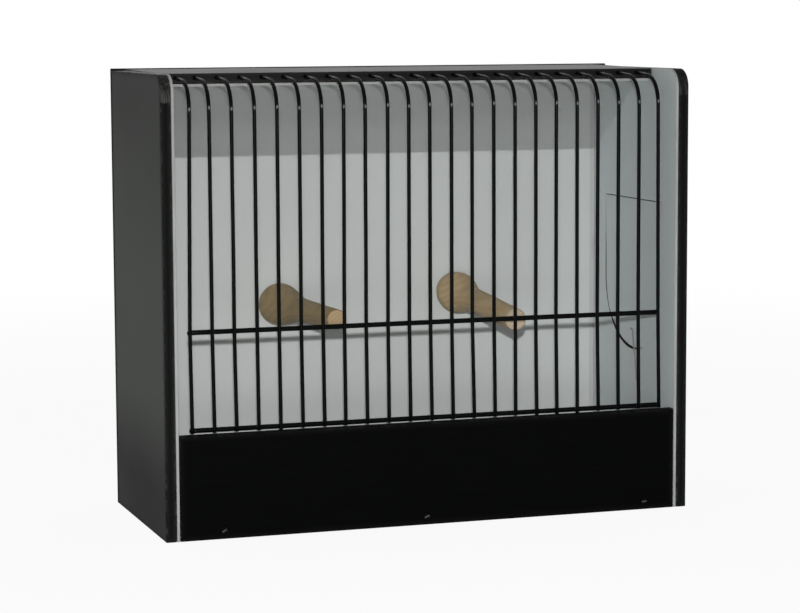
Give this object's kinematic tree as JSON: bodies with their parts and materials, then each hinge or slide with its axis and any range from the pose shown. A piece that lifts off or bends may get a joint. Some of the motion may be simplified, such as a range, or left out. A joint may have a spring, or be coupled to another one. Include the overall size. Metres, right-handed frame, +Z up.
{
  "type": "bird cage",
  "caption": "Bird exhibition cage: black case lined in white, bent wire front with cross bars, turned perches, and a hinged half-round end door with a turn button",
  "frame": {"origin": "centre of the case's underside, on the floor board, at the surface that the cage stands on", "axes": "+X to the right seen from the wire front, along the length; +Y from the front to the back; +Z up"},
  "size_m": [0.3664, 0.143, 0.2931],
  "materials": {
    "black_paint": "thin board painted gloss black",
    "white_lining": "thin board painted satin white",
    "black_wire": "steel wire, black enamel",
    "turned_wood": "turned wood, bare",
    "painted_screw": "steel screw, painted black with the board",
    "screw_steel": "plain steel",
    "brass": "worn brass",
    "knob_paint": "turned wood painted gloss black"
  },
  "bodies": {
    "case": {"side_panel_left": "black_paint", "side_panel_right": "black_paint", "back_panel": "black_paint", "roof_panel": "black_paint", "floor_panel": "black_paint", "front_board": "black_paint", "side_lining_left": "white_lining", "side_lining_right": "white_lining", "back_lining": "white_lining", "roof_lining": "white_lining", "floor_lining": "white_lining", "wire_01": "black_wire", "wire_02": "black_wire", "wire_03": "black_wire", "wire_04": "black_wire", "wire_05": "black_wire", "wire_06": "black_wire", "wire_07": "black_wire", "wire_08": "black_wire", "wire_09": "black_wire", "wire_10": "black_wire", "wire_11": "black_wire", "wire_12": "black_wire", "wire_13": "black_wire", "wire_14": "black_wire", "wire_15": "black_wire", "wire_16": "black_wire", "wire_17": "black_wire", "wire_18": "black_wire", "wire_19": "black_wire", "wire_20": "black_wire", "wire_21": "black_wire", "wire_22": "black_wire", "wire_23": "black_wire", "mid_bar": "black_wire", "bottom_bar": "black_wire", "perch_left": "turned_wood", "perch_right": "turned_wood", "perch_screw_left": "screw_steel", "perch_screw_right": "screw_steel", "front_board_screw_1": "painted_screw", "front_board_screw_2": "painted_screw", "front_board_screw_3": "painted_screw", "hinge_leaf_frame": "brass", "hinge_pin": "screw_steel", "hinge_screw_frame_front": "brass", "hinge_screw_frame_rear": "brass", "turn_button_screw": "screw_steel", "door_stop_wire": "black_wire"},
    "door": {"door_panel": "black_paint", "door_lining": "white_lining", "door_knob": "knob_paint", "hinge_leaf_door": "brass", "hinge_screw_door_front": "brass", "hinge_screw_door_rear": "brass"},
    "turn_button": {"turn_button": "brass"}
  },
  "joints": [
    {"name": "door_hinge", "type": "hinge", "parent": "case", "child": "door", "pos_m": [0.1799, -0.003, 0.20235], "axis": [0, -1, 0], "range_deg": [0, 170]},
    {"name": "turn_button_pivot", "type": "hinge", "parent": "case", "child": "turn_button", "pos_m": [0.1781, -0.003, 0.088], "axis": [1, 0, 0], "range_deg": [-90, 90]}
  ]
}
